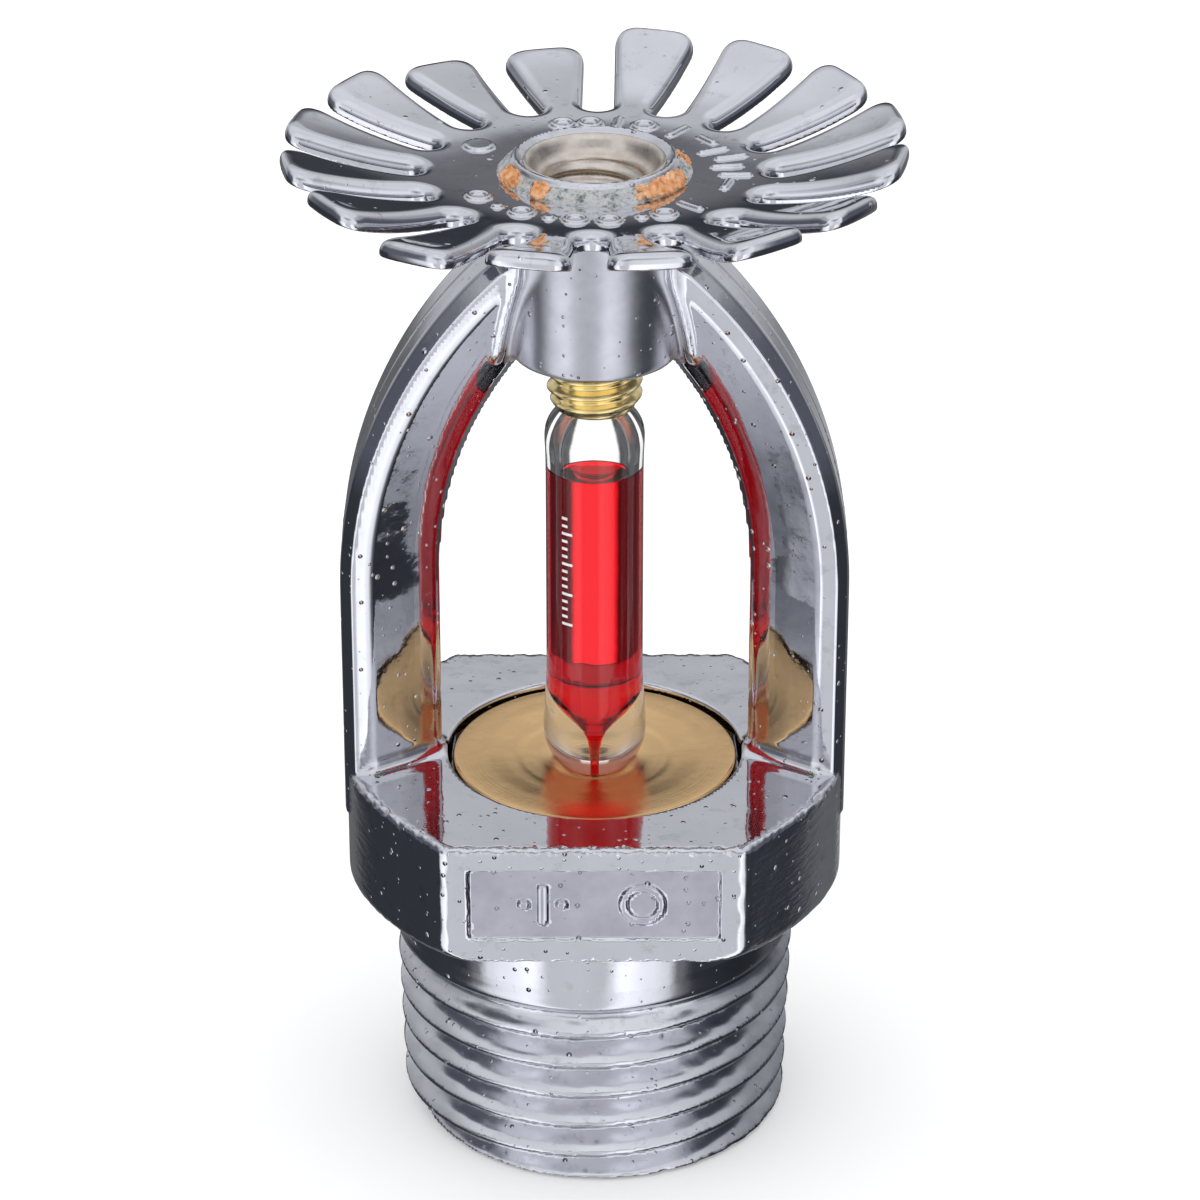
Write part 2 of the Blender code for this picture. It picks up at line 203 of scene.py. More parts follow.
def add(nodes, kind, **values):
    node = nodes.new(kind)
    for key, value in values.items():
        if key.startswith("in_"):
            node.inputs[key[3:].replace("_", " ")].default_value = value
        else:
            setattr(node, key, value)
    return node


def ramp(nodes, stops, mode="LINEAR"):
    node = nodes.new("ShaderNodeValToRGB")
    node.color_ramp.interpolation = mode
    el = node.color_ramp.elements
    while len(el) > 1:
        el.remove(el[-1])
    for i, (at, colour) in enumerate(stops):
        if not isinstance(colour, tuple):
            colour = (colour, colour, colour)
        e = el[0] if i == 0 else el.new(at)
        e.position = at
        e.color = (*colour, 1)
    return node


def math_node(nodes, links, op, a, b=None, c=None, clamp=False):
    node = nodes.new("ShaderNodeMath")
    node.operation = op
    node.use_clamp = clamp
    for i, value in enumerate((a, b, c)):
        if value is None:
            continue
        if isinstance(value, (int, float)):
            node.inputs[i].default_value = value
        else:
            links.new(value, node.inputs[i])
    return node.outputs[0]


def mix(nodes, links, factor, a, b):
    node = nodes.new("ShaderNodeMix")
    node.data_type = "RGBA"
    links.new(factor, node.inputs["Factor"])
    for socket, value in ((node.inputs[6], a), (node.inputs[7], b)):
        if isinstance(value, tuple):
            socket.default_value = (*value, 1)
        else:
            links.new(value, socket)
    return node.outputs[2]


def millimetres(nodes, links):
    """Object coordinates scaled to millimetres."""
    coord = nodes.new("ShaderNodeTexCoord")
    scale = nodes.new("ShaderNodeVectorMath")
    scale.operation = "SCALE"
    scale.inputs["Scale"].default_value = 1000
    links.new(coord.outputs["Object"], scale.inputs[0])
    return scale.outputs[0]


def pimples(nodes, links, where, per_mm, share, size):
    """Height of sparse round pimples: about `share` of the cells hold one."""
    vor = add(nodes, "ShaderNodeTexVoronoi", feature="F1", in_Scale=per_mm, in_Randomness=0.9)
    links.new(where, vor.inputs["Vector"])
    split = nodes.new("ShaderNodeSeparateColor")
    links.new(vor.outputs["Color"], split.inputs[0])
    pick = math_node(nodes, links, "LESS_THAN", split.outputs[0], share)
    wide = math_node(nodes, links, "MULTIPLY", split.outputs[1], size)
    wide = math_node(nodes, links, "ADD", wide, size * 0.35)
    near = math_node(nodes, links, "DIVIDE", vor.outputs["Distance"], wide)
    dome = math_node(nodes, links, "SUBTRACT", 1.0, math_node(nodes, links, "MULTIPLY", near, near), clamp=True)
    return math_node(nodes, links, "MULTIPLY", dome, pick)


def chain_bumps(nodes, links, bumps, shader):
    normal = None
    for height, strength, distance in bumps:
        bump = add(nodes, "ShaderNodeBump", in_Strength=strength, in_Distance=distance)
        links.new(height, bump.inputs["Height"])
        if normal:
            links.new(normal, bump.inputs["Normal"])
        normal = bump.outputs[0]
    links.new(normal, shader.inputs["Normal"])


def noise(nodes, links, where, scale, detail=3.0, rough=0.5, stretch=None):
    if stretch:
        mapping = add(nodes, "ShaderNodeMapping")
        mapping.inputs["Scale"].default_value = stretch
        links.new(where, mapping.inputs["Vector"])
        where = mapping.outputs[0]
    node = add(nodes, "ShaderNodeTexNoise", in_Scale=scale, in_Detail=detail, in_Roughness=rough)
    links.new(where, node.inputs["Vector"])
    return node.outputs["Fac"]


def chrome(name, base=(0.75, 0.75, 0.79), rough=0.05, bumpy=1.0, spots=0.0, many=1.0, sides=False):
    """Plated casting: mirror bright, softly uneven, pimpled, hazy in patches, rust-brown in spots; with sides, also
    painted shade on the hub, arm insides and thread.
    """
    mat, nodes, links, shader = new_material(name)
    at = millimetres(nodes, links)
    shader.inputs["Metallic"].default_value = 1.0
    tone = noise(nodes, links, at, 0.35, 4.0, 0.55)
    shade = ramp(nodes, [(0.25, tuple(c * 0.90 for c in base)), (0.75, base)])
    links.new(tone, shade.inputs[0])
    colour = shade.outputs[0]
    smudge = noise(nodes, links, at, 0.9, 6.0, 0.72)
    dull = ramp(nodes, [(0.56, 1.0), (0.66, 0.72)])
    links.new(smudge, dull.inputs[0])
    dark = nodes.new("ShaderNodeMix")
    dark.data_type = "RGBA"
    dark.blend_type = "MULTIPLY"
    dark.inputs["Factor"].default_value = 0.55
    links.new(colour, dark.inputs[6])
    links.new(dull.outputs[0], dark.inputs[7])
    colour = dark.outputs[2]
    if spots:
        speck = noise(nodes, links, at, 0.8, 6.0, 0.7)
        mask = ramp(nodes, [(0.69 - 0.03 * spots, 0.0), (0.75 - 0.03 * spots, 1.0)])
        links.new(speck, mask.inputs[0])
        colour = mix(nodes, links, math_node(nodes, links, "MULTIPLY", mask.outputs[0], 0.5), colour, (0.42, 0.2, 0.1))
    if sides:
        # crumbly, whitish, stained metal on the ring the spigot was swaged into
        where = nodes.new("ShaderNodeSeparateXYZ")
        links.new(at, where.inputs[0])
        rr2 = math_node(nodes, links, "ADD", math_node(nodes, links, "MULTIPLY", where.outputs[0], where.outputs[0]), math_node(nodes, links, "MULTIPLY", where.outputs[1], where.outputs[1]))
        crumb = math_node(nodes, links, "MULTIPLY", math_node(nodes, links, "GREATER_THAN", rr2, 4.16 * 4.16), math_node(nodes, links, "GREATER_THAN", where.outputs[2], 51.6))
        stain = ramp(nodes, [(0.30, (0.16, 0.15, 0.13)), (0.40, (0.45, 0.47, 0.43)), (0.50, (0.86, 0.89, 0.88)), (0.60, (0.95, 0.96, 0.95)), (0.66, (0.85, 0.55, 0.36)), (0.72, (0.9, 0.9, 0.86))])
        links.new(noise(nodes, links, at, 2.6, 6.0, 0.7), stain.inputs[0])
        colour = mix(nodes, links, crumb, colour, stain.outputs[0])
        # painted shade: the hub, the arm insides and the thread's far side are given a darker base colour
        hub_shade_mask = math_node(nodes, links, "MULTIPLY", math_node(nodes, links, "LESS_THAN", rr2, 4.6 * 4.6), math_node(nodes, links, "GREATER_THAN", where.outputs[2], 42.0))
        hub_shade_mask = math_node(nodes, links, "MULTIPLY", hub_shade_mask, math_node(nodes, links, "LESS_THAN", where.outputs[2], 51.2))
        hub_shade_colour = ramp(nodes, [(0.3, (0.54, 0.54, 0.59)), (0.7, (0.66, 0.66, 0.70))])
        links.new(noise(nodes, links, at, 0.7, 4.0, 0.6), hub_shade_colour.inputs[0])
        colour = mix(nodes, links, hub_shade_mask, colour, hub_shade_colour.outputs[0])
        # painted shade and painted dark reflection on the inner facets of the arms, stronger on the right arm
        ax = math_node(nodes, links, "ADD", math_node(nodes, links, "ABSOLUTE", where.outputs[0]), 11.3)
        zc = math_node(nodes, links, "MAXIMUM", math_node(nodes, links, "SUBTRACT", where.outputs[2], 30.3), 0.0)
        rho = math_node(nodes, links, "SQRT", math_node(nodes, links, "ADD", math_node(nodes, links, "MULTIPLY", ax, ax), math_node(nodes, links, "MULTIPLY", zc, zc)))
        deep = math_node(nodes, links, "SUBTRACT", 24.15, rho)
        arm_inside_shade_mask = math_node(nodes, links, "MULTIPLY", math_node(nodes, links, "GREATER_THAN", deep, 1.5), math_node(nodes, links, "LESS_THAN", deep, 3.7))
        arm_inside_shade_mask = math_node(nodes, links, "MULTIPLY", arm_inside_shade_mask, math_node(nodes, links, "GREATER_THAN", rr2, 5.2 * 5.2))
        tall = ramp(nodes, [(0.0, 0.0), (0.10, 0.0), (0.26, 0.9), (0.55, 1.0), (0.80, 0.15), (1.0, 0.0)])
        links.new(math_node(nodes, links, "DIVIDE", math_node(nodes, links, "SUBTRACT", where.outputs[2], 22.0), 26.0, clamp=True), tall.inputs[0])
        side = ramp(nodes, [(0.45, 0.45), (0.55, 1.0)])
        links.new(math_node(nodes, links, "DIVIDE", math_node(nodes, links, "ADD", where.outputs[0], 13.0), 26.0, clamp=True), side.inputs[0])
        arm_inside_shade_mask = math_node(nodes, links, "MULTIPLY", math_node(nodes, links, "MULTIPLY", arm_inside_shade_mask, tall.outputs[0]), side.outputs[0])
        # painted shade on the right-hand side of the inlet thread, below the boss
        thread_far_shade_mask = math_node(nodes, links, "DIVIDE", math_node(nodes, links, "SUBTRACT", where.outputs[0], 4.0), 3.0, clamp=True)
        thread_far_shade_mask = math_node(nodes, links, "MULTIPLY", thread_far_shade_mask, math_node(nodes, links, "LESS_THAN", where.outputs[2], 12.0))
        shadowed = ramp(nodes, [(0.3, (0.27, 0.28, 0.31)), (0.7, (0.40, 0.41, 0.45))])
        links.new(noise(nodes, links, at, 0.6, 4.0, 0.6), shadowed.inputs[0])
        colour = mix(nodes, links, math_node(nodes, links, "MAXIMUM", arm_inside_shade_mask, math_node(nodes, links, "MULTIPLY", thread_far_shade_mask, 0.75)), colour, shadowed.outputs[0])
        # the floor of the sunk panel is duller than the flat round it
        inside = math_node(nodes, links, "LESS_THAN", math_node(nodes, links, "ABSOLUTE", where.outputs[0]), 6.2)
        inside = math_node(nodes, links, "MULTIPLY", inside, math_node(nodes, links, "LESS_THAN", math_node(nodes, links, "ABSOLUTE", math_node(nodes, links, "SUBTRACT", where.outputs[2], 16.9)), 1.86))
        inside = math_node(nodes, links, "MULTIPLY", inside, math_node(nodes, links, "LESS_THAN", where.outputs[1], -10.3))
        patch = ramp(nodes, [(0.3, (0.50, 0.50, 0.55)), (0.7, (0.64, 0.63, 0.69))])
        links.new(noise(nodes, links, at, 0.5, 3.0, 0.6), patch.inputs[0])
        colour = mix(nodes, links, inside, colour, patch.outputs[0])
    links.new(colour, shader.inputs["Base Color"])
    haze = noise(nodes, links, at, 0.8, 6.0, 0.65)
    rr = ramp(nodes, [(0.35, rough * 0.7), (0.58, rough), (0.74, rough * 2.2)])
    links.new(haze, rr.inputs[0])
    satin = rr.outputs[0]
    if sides:
        # the hub between the arms is duller than the rest
        part = nodes.new("ShaderNodeSeparateXYZ")
        links.new(at, part.inputs[0])
        r2 = math_node(nodes, links, "ADD", math_node(nodes, links, "MULTIPLY", part.outputs[0], part.outputs[0]), math_node(nodes, links, "MULTIPLY", part.outputs[1], part.outputs[1]))
        hub = math_node(nodes, links, "MULTIPLY", math_node(nodes, links, "LESS_THAN", r2, 4.55 * 4.55), math_node(nodes, links, "GREATER_THAN", part.outputs[2], 42.0))
        hub = math_node(nodes, links, "MULTIPLY", hub, math_node(nodes, links, "LESS_THAN", part.outputs[2], 51.2))
        satin = math_node(nodes, links, "ADD", satin, math_node(nodes, links, "MULTIPLY", hub, 0.27))
        satin = math_node(nodes, links, "ADD", satin, math_node(nodes, links, "MULTIPLY", math_node(nodes, links, "LESS_THAN", part.outputs[2], 11.6), 0.12))
        ring = math_node(nodes, links, "GREATER_THAN", r2, 4.13 * 4.13)
        ring = math_node(nodes, links, "MULTIPLY", ring, math_node(nodes, links, "GREATER_THAN", part.outputs[2], 51.9))
        satin = math_node(nodes, links, "ADD", satin, math_node(nodes, links, "MULTIPLY", ring, 0.3))
    links.new(satin, shader.inputs["Roughness"])
    bumps = [
        (noise(nodes, links, at, 0.45, 1.5, 0.4), 0.035 * bumpy, 0.0006),
        (noise(nodes, links, at, 2.0, 2.0, 0.45), 0.014 * bumpy, 0.00022),
        (pimples(nodes, links, at, 1.15, 0.62 * many, 0.15), 0.9 * bumpy, 0.00024),
        (pimples(nodes, links, at, 2.6, 0.22 * many, 0.2), 0.6 * bumpy, 0.00009),
    ]
    if sides:
        # short tool drag marks on the slanted sides of the wrench boss only
        split = nodes.new("ShaderNodeSeparateXYZ")
        links.new(at, split.inputs[0])
        band = ramp(nodes, [(0.0, 0.0), (0.08, 1.0), (0.9, 1.0), (1.0, 0.0)])
        links.new(math_node(nodes, links, "DIVIDE", math_node(nodes, links, "SUBTRACT", split.outputs[2], 13.6), 6.3, clamp=True), band.inputs[0])
        wide = math_node(nodes, links, "GREATER_THAN", math_node(nodes, links, "ABSOLUTE", split.outputs[0]), 7.7)
        drag = noise(nodes, links, at, 1.0, 4.0, 0.6, (0.7, 0.7, 3.2))
        drag = math_node(nodes, links, "MULTIPLY", math_node(nodes, links, "MULTIPLY", drag, wide), band.outputs[0])
        bumps.append((drag, 0.16, 0.0004))
        bumps.append((math_node(nodes, links, "MULTIPLY", noise(nodes, links, at, 5.0, 5.0, 0.7), crumb), 0.8, 0.00022))
    chain_bumps(nodes, links, bumps, shader)
    return mat


def brass(name, base, rough, turning=1.0, radial=True, stain=0.5):
    """Bare turned brass: fine rings, slight tarnish, highlights drawn out across the rings."""
    mat, nodes, links, shader = new_material(name)
    at = millimetres(nodes, links)
    shader.inputs["Metallic"].default_value = 1.0
    tone = noise(nodes, links, at, 0.9, 5.0, 0.6)
    shade = ramp(nodes, [(0.2, tuple(c * (1 - 0.35 * stain) for c in base)), (0.55, base), (0.9, tuple(min(1, c * 1.12) for c in base))])
    links.new(tone, shade.inputs[0])
    links.new(shade.outputs[0], shader.inputs["Base Color"])
    split = nodes.new("ShaderNodeSeparateXYZ")
    links.new(at, split.inputs[0])
    if radial:
        r2 = math_node(nodes, links, "ADD", math_node(nodes, links, "MULTIPLY", split.outputs[0], split.outputs[0]), math_node(nodes, links, "MULTIPLY", split.outputs[1], split.outputs[1]))
        along = math_node(nodes, links, "SQRT", r2)
    else:
        along = split.outputs[2]
    line = nodes.new("ShaderNodeCombineXYZ")
    links.new(along, line.inputs[0])
    rings = noise(nodes, links, line.outputs[0], 9.0, 4.0, 0.7)
    fine = noise(nodes, links, line.outputs[0], 32.0, 2.0, 0.6)
    rr = ramp(nodes, [(0.3, rough * 0.8), (0.7, rough * 1.25)])
    links.new(rings, rr.inputs[0])
    links.new(rr.outputs[0], shader.inputs["Roughness"])
    shader.inputs["Anisotropic"].default_value = 0.55
    tangent = add(nodes, "ShaderNodeTangent", direction_type="RADIAL", axis="Z")
    links.new(tangent.outputs[0], shader.inputs["Tangent"])
    chain_bumps(nodes, links, [
        (rings, 0.16 * turning, 0.00005),
        (fine, 0.16 * turning, 0.00003),
        (noise(nodes, links, at, 1.0, 3.0, 0.6), 0.06, 0.0002),
    ], shader)
    return mat


# ---------------------------------------------------------------- dimensions shared with the solids, mm
PITCH, DEPTH, CREST0, TAPER = 1.814, 1.05, 10.06, 1 / 32
BOSS_LOW, BOSS_TOP, FLAT = 13.55, 20.13, 10.86
ARCH_X, ARCH_Z, ARM_R, ARM_U = -11.3, 30.3, 24.15, 5.1
HUB_R, HUB_LOW, HUB_TOP = 4.2, 42.43, 50.97


# ---------------------------------------------------------------- frame
def frame_field(x, y, z):
    ax, ay = np.abs(x), np.abs(y)
    r = np.hypot(x, y)
    turn = np.arctan2(x, -y) / (2 * math.pi)  # 0 on the front, grows anticlockwise seen from above

    # inlet thread: narrow crests with a shallow double edge, right hand, and a rough bottom rim
    rough = (0.10 * wave(x, y, z, 11, 1.1) + 0.07 * wave(x, y, z, 12, 0.45)) * step(2.0, 0.3, z)
    share = np.mod((z - 1.74) / PITCH - turn + 0.5, 1.0) - 0.5
    dip = np.abs(share) * 2
    dip = np.clip((dip - 0.10) / 0.86, 0.0, 1.0)
    dip = dip * dip * (3 - 2 * dip) * 0.25 + dip * 0.75
    fade = step(11.3, 9.0, z)
    drip = 0.03 * wave(x, y, z, 13, 1.6) * step(0.15, 0.6, dip)
    skin = CREST0 + TAPER * z - (DEPTH * dip - drip) * fade
    skin = skin - 0.035 * np.exp(-((share + 0.045) / 0.022) ** 2) * fade
    nipple = (r - skin) * 0.62
    nipple = smax(nipple, (r - (9.84 + z * 0.8)) * 0.76 + rough, 0.12)
    nipple = smax(nipple, -z + 0.02 + np.abs(rough) * 0.3, 0.25)
    nipple = np.maximum(nipple, z - 15.0)
    neck = smax(r - 10.2, 10.55 - z, 0.35)
    neck = np.maximum(neck, z - 15.0)
    body = smin(nipple, neck, 0.25)

    # wrench boss
    k = 0.5
    flat = ay - FLAT
    cut = side_of(ax, -ay, (7.6, -10.86), (11.05, -6.5))
    cut2 = side_of(ax, -ay, (11.05, -6.5), (12.6, -3.1))
    cut3 = side_of(ax, -ay, (12.6, -3.1), (12.88, -0.9))
    sides = smax(smax(cut, cut2, 0.5), smax(cut3, ax - 12.88, 0.4), 0.5)
    sides = smax(sides, flat, 0.22 + 0.3 * np.clip(0.5 + 0.6 * wave(x, y, z, 17, 1.0), 0.05, 1.0))
    wob = 0.008 * wave(x, y, z, 5, 5.0)
    bead = 0.5 + 0.5 * wave(x, y, z, 15, 1.0) + 0.25 * wave(x, y, z, 16, 0.4)
    bead = np.clip(bead, 0.05, 1.2)
    boss = smax(sides, z - BOSS_TOP + wob * step(7.5, 9.0, r), 0.24 + 0.42 * bead)
    boss = smax(boss, BOSS_LOW - z, 0.2 + 0.3 * bead)
    boss = smax(boss, (r - 12.55 - (z - BOSS_LOW) * 1.1) * 0.67, 0.3)
    # sunk panel with a ragged edge, on the front only
    edge = 0.05 * wave(x, 0 * y, z, 21, 0.9) + 0.04 * wave(x, 0 * y, z, 22, 2.5)
    sink = smax(np.abs(x) - 6.3 + edge, np.abs(z - 16.9) - 1.95 + edge, 0.25)
    sink = smax(sink, y + FLAT - 0.2, 0.12)
    # two plain raised marks in it: a bar between two dots, and a ring
    bar = smax(np.abs(x + 2.6) - 0.25, np.abs(z - 16.9) - 1.15, 0.2)
    bar = np.minimum(bar, np.hypot(x + 3.55, z - 16.9) - 0.3)
    bar = np.minimum(bar, np.hypot(x + 1.65, z - 16.9) - 0.3)
    disc = np.abs(np.hypot(x - 2.4, z - 16.9) - 0.95) - 0.22
    marks = smax(np.minimum(bar, disc), -(y + FLAT - 0.03), 0.12)
    boss = smax(boss, -sink, 0.1)
    boss = smin(boss, np.maximum(marks, y + 10.3), 0.1)
    body = smin(body, boss, 0.2)

    # yoke arms
    rho = np.hypot(ax - ARCH_X, z - ARCH_Z)
    up = z > ARCH_Z
    u = np.where(up, ARM_R - rho, 12.85 - ax)
    arm = -u
    arm = smax(arm, side_of(u, -ay, (0.0, -2.25), (0.62, -3.05)), 0.15)
    for p, q, k in (((0.62, -3.05), (1.5, -2.92), 0.12), ((1.5, -2.92), (3.55, -1.52), 0.14), ((3.55, -1.52), (4.75, -0.4), 0.12)):
        arm = smax(arm, side_of(u, -ay, p, q), k)
    arm = smax(arm, u - ARM_U, 0.6)
    arm = arm + 0.012 * wave(x, y, z, 7, 8.0)
    # a raised web where each arm meets the hub
    arm = arm - 0.28 * np.exp(-(((r - 4.95) / 0.26) ** 2)) * step(50.0, 48.8, z) * step(42.0, 43.0, z)
    # casting parting line along the outer edge of the right arm and inside both
    seam = np.exp(-((ay / 0.11) ** 2)) * 0.04
    arm = arm - seam
    arm = smax(arm, 17.5 - z, 0.2)
    arm = smax(arm, z - 50.6, 0.5)
    blend = 0.9 * step(12.4, 11.2, ax) + 0.05
    body = smin(body, arm, blend)

    # hub, spigot and the swaged collar over the deflector
    hub = smax(r - HUB_R - 0.02 * (z - HUB_LOW) * 0.3, z - HUB_TOP, 0.25)
    hub = smax(hub, HUB_LOW - z + 0.02 * wave(x, y, z, 9, 1.5), 0.4)
    body = smin(body, hub, 0.55 * step(51.0, 49.5, z) + 0.05)
    spigot = np.maximum(r - 3.8, z - 52.6)
    spigot = np.maximum(spigot, 49 - z)
    rag = 0.055 * wave(x, y, z, 31, 0.9) + 0.04 * wave(x, y, z, 32, 0.35)
    lip = np.hypot(r - 3.77, np.maximum(z - 52.57, 0.0)) - 0.325
    lip = np.maximum(np.maximum(lip, 51.8 - z), z - 52.9)
    skirt = (r - 4.12) * 0.66 + (z - 52.62) * 0.75 + rag * step(4.05, 4.3, r)
    skirt = smax(skirt, r - 4.9 - rag * 2, 0.25)
    skirt = smax(skirt, z - 52.66 - rag, 0.15)
    collar = smin(lip, np.maximum(skirt, 51.8 - z), 0.12)
    body = np.minimum(body, np.minimum(spigot, collar))

    # waterway, seat and pocket
    bore = r - 5.8
    bore = smin(bore, np.maximum(r - 5.8 - (0.9 - z), z - 0.9) * 0.7, 0.1)
    pocket = np.maximum(smax(r - 7.6, 17.3 - z, 0.25), z - 24.0)
    seat = smax(np.abs(r - 6.4) - 0.32, z - 17.7, 0.1)
    pocket = smax(pocket, -seat, 0.1)
    hollow = np.minimum(np.maximum(bore, z - 17.9), pocket)
    body = smax(body, -hollow, 0.18)
    # the threaded sleeve piece fills this bore
    tube = np.maximum(r - 2.75, 42.0 - z)
    mouth = np.maximum(r - 3.44 - np.maximum(z - 52.6, 0.0) * 1.5, 51.7 - z)
    body = smax(body, -np.minimum(tube, mouth), 0.12)
    return body


voxel = 0.17
body = surface("sprinkler_frame", frame_field, (-13.4, -11.4, -0.5), (13.4, 11.4, 53.3), voxel)
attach(body, "frame_body")
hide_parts("frame")


# ---------------------------------------------------------------- threaded sleeve: hub bore, lip and mouth
def helix(name, low, high, pitch, columns, per, inside, shape, extra=()):
    """A threaded skin. shape(z, share) gives the radius; extra is the profile that closes it."""
    rows = int((high - low) / pitch * per) + 1
    bm = bmesh.new()
    grid = []
    for j in range(rows + 1):
        z = low + (high - low) * j / rows
        line = []
        for i in range(columns):
            a = 2 * math.pi * i / columns
            share = ((z / pitch) - (a + math.pi / 2) / (2 * math.pi)) % 1.0
            r = shape(z, share)
            line.append(bm.verts.new((r * math.cos(a) * MM, r * math.sin(a) * MM, z * MM)))
        grid.append(line)
    for r, z in extra:
        if r < 1e-6:
            grid.append([bm.verts.new((0, 0, z * MM))] * columns)
        else:
            grid.append([
                bm.verts.new((r * math.cos(2 * math.pi * i / columns) * MM, r * math.sin(2 * math.pi * i / columns) * MM, z * MM))
                for i in range(columns)
            ])
    loops = grid + ([grid[0]] if extra and extra[-1][0] > 1e-6 else [])
    for a, b in zip(loops, loops[1:]):
        for i in range(columns):
            j = (i + 1) % columns
            corners = []
            for v in (a[i], a[j], b[j], b[i]):
                if v not in corners:
                    corners.append(v)
            if len(corners) > 2:
                bm.faces.new(corners)
    bmesh.ops.recalc_face_normals(bm, faces=bm.faces)
    return link(name, bm)


def vee(share, flat=0.12):
    """0 at the crest of the screw, 1 at its root, with small flats."""
    d = abs(share - 0.0)
    d = min(d, 1 - d) * 2
    return min(1.0, max(0.0, (d - flat) / (1 - 2 * flat)))


def bore_radius(z, share):
    thread = 2.54 - 0.40 * vee(share)
    fade = min(1.0, max(0.0, (51.75 - z) / 0.9)) * min(1.0, max(0.0, (z - 42.45) / 0.35))
    return 2.56 * (1 - fade) + thread * fade


sleeve = helix(
    "hub_bore_sleeve", 42.46, 51.72, 0.8, 96, 8, True, bore_radius,
    extra=[(2.74, 51.80), (2.9, 51.92), (3.02, 52.1), (3.12, 52.35), (3.22, 52.52), (3.33, 52.63), (3.42, 52.68), (3.5, 52.64), (3.58, 52.5), (3.58, 51.62), (2.85, 51.55), (2.85, 42.5)],
)
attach(sleeve, "frame_body")


# ---------------------------------------------------------------- deflector
TINES, PLATE_R, SLOT_IN, SLOT_HALF = 16, 15.33, 8.5, 0.8
TURN = math.radians(-1.0)
# how far each tine is bent above or below the even dish, and how far it is twisted
TINE_LIFT = [0.45 if tine in (15, 0, 1, 2, 3) else -0.7 if tine in (4, 5, 10) else 0.0 for tine in range(16)]
TINE_ROLL = (0.02, 0.07, 0.05, 0.03, -0.02, 0.04, -0.05, 0.02, 0.03, -0.02, 0.04, 0.0, -0.03, 0.05, -0.04, 0.03)


def dish(r):
    return 1.9 * np.maximum(0.0, (r - 5.6) / (PLATE_R - 5.6)) ** 2.1


def deflector_field(x, y, z):
    r = np.hypot(x, y)
    angle = np.arctan2(y, x) - TURN
    sector = 2 * math.pi / TINES
    tine = np.floor(angle / sector).astype(int) % TINES
    lift = np.array(TINE_LIFT, np.float32)[tine]
    roll = np.array(TINE_ROLL, np.float32)[tine]
    reach = np.maximum(0.0, (r - SLOT_IN) / (PLATE_R - SLOT_IN))
    across = r * (np.mod(angle, sector) - sector / 2)
    middle = 51.5 + dish(r) + lift * reach ** 1.5 + roll * across * np.minimum(reach * 1.6, 1.0)
    slope = 1.0 / np.sqrt(1 + (0.42 * np.minimum(reach, 1.1)) ** 2)
    # nearest slot, in its own axes
    local = np.mod(angle, sector)
    local = np.where(local > sector / 2, local - sector, local)
    sx, sy = r * np.cos(local), np.abs(r * np.sin(local))
    slot = np.where(sx > SLOT_IN + SLOT_HALF, sy - SLOT_HALF, np.hypot(sx - SLOT_IN - SLOT_HALF, sy) - SLOT_HALF)
    # tines: straight-ish tips with rounded corners
    outline = smax(r - PLATE_R, -slot, 1.1)
    outline = smax(outline, 3.86 - r, 0.1)
    up = z - middle
    # pressed edges: broad rounding on top, small burr below
    top = smax(outline, (up - 0.48) * slope, 0.75)
    plate = smax(top, (-up - 0.48) * slope, 0.12)
    # plain raised marks round the centre
    height = (up - 0.48) * slope
    marks = np.full_like(r, 9.0)
    for deg, rad, kind in MARKS:
        cx, cy = rad * math.cos(math.radians(deg)), rad * math.sin(math.radians(deg))
        px, py = x - cx, y - cy
        a = math.radians(deg)
        along, across = px * math.cos(a) + py * math.sin(a), -px * math.sin(a) + py * math.cos(a)
        if kind == "ring":
            d = np.abs(np.hypot(px, py) - 0.5) - 0.14
        elif kind == "dot":
            d = np.hypot(px, py) - 0.26
        elif kind == "bar":
            d = np.hypot(np.maximum(np.abs(along) - 0.62, 0), across) - 0.16
        elif kind == "dash":
            d = np.hypot(along, np.maximum(np.abs(across) - 0.48, 0)) - 0.16
        else:  # a plain round pad
            d = np.hypot(along, across) - 0.75
        marks = np.minimum(marks, d)
    raised = smax(marks, height - 0.17, 0.14)
    raised = np.maximum(raised, -height - 0.2)
    return smin(plate, raised, 0.12)


MARKS = [
    (104, 6.55, "ring"), (92, 6.5, "ring"), (80, 6.55, "bar"), (68, 6.6, "ring"),
    (52, 6.7, "bar"), (36, 6.9, "dash"), (24, 6.4, "bar"), (14, 6.9, "bar"), (4, 6.5, "bar"), (-6, 6.9, "bar"), (-17, 6.7, "dash"),
    (150, 6.6, "pad"),
    (212, 6.6, "ring"), (226, 6.7, "dot"), (238, 6.6, "ring"), (251, 6.7, "dot"), (262, 6.6, "ring"),
    (276, 6.7, "ring"), (290, 6.6, "dot"), (300, 6.7, "ring"), (314, 6.6, "bar"),
]

voxel = 0.12
plate = surface("deflector_plate", deflector_field, (-15.6, -15.6, 50.6), (15.6, 15.6, 54.9), voxel)
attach(plate, "frame_body")
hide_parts("deflector")


